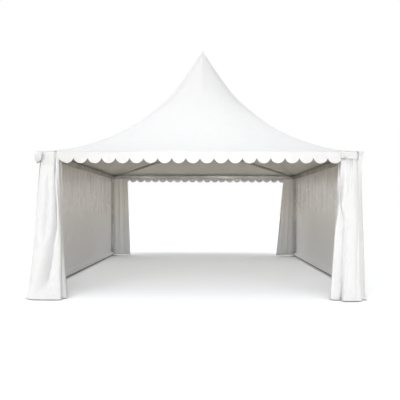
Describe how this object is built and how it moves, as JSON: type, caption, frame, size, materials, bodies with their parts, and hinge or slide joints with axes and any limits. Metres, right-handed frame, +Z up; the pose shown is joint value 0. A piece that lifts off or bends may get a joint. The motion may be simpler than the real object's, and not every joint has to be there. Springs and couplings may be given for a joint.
{
  "type": "pagoda marquee tent",
  "caption": "Square marquee with a concave high-peaked cloth roof, scalloped valances, closed sides and open ends with curtains gathered at the corners.",
  "frame": {"origin": "on the ground, in the middle of the rectangle that the tent covers with its front curtains; the mast's axis is 0.328 m behind it", "axes": "+Z up, -Y out of the front opening, +X to the right of someone who looks in from the front"},
  "size_m": [5.1, 5.7934, 4.695],
  "materials": {
    "roof_cloth": "satin coated white",
    "wall_cloth": "satin coated white",
    "aluminium_tube": "mill finish, dull",
    "galvanised_steel": "galvanised, dull"
  },
  "bodies": {
    "root": {"base_plate_front_left": "galvanised_steel", "base_plate_front_right": "galvanised_steel", "base_plate_rear_left": "galvanised_steel", "base_plate_rear_right": "galvanised_steel", "corner_post_front_left": "aluminium_tube", "corner_post_front_right": "aluminium_tube", "corner_post_rear_left": "aluminium_tube", "corner_post_rear_right": "aluminium_tube", "corner_bracket_front_left": "galvanised_steel", "corner_bracket_front_right": "galvanised_steel", "corner_bracket_rear_left": "galvanised_steel", "corner_bracket_rear_right": "galvanised_steel", "rafter_front_left": "aluminium_tube", "rafter_front_right": "aluminium_tube", "rafter_rear_left": "aluminium_tube", "rafter_rear_right": "aluminium_tube", "eave_beam_front": "aluminium_tube", "eave_beam_rear": "aluminium_tube", "eave_beam_left": "aluminium_tube", "eave_beam_right": "aluminium_tube", "ground_rail_left": "aluminium_tube", "ground_rail_right": "aluminium_tube", "crown_hub": "galvanised_steel", "mast": "aluminium_tube", "mast_cap": "galvanised_steel", "roof_panel_front": "roof_cloth", "roof_panel_rear": "roof_cloth", "roof_panel_left": "roof_cloth", "roof_panel_right": "roof_cloth", "valance_front": "roof_cloth", "valance_rear": "roof_cloth", "valance_left": "roof_cloth", "valance_right": "roof_cloth", "side_wall_left": "wall_cloth", "side_wall_right": "wall_cloth", "curtain_front_left": "wall_cloth", "curtain_front_right": "wall_cloth", "curtain_rear_left": "wall_cloth", "curtain_rear_right": "wall_cloth"}
  },
  "joints": []
}
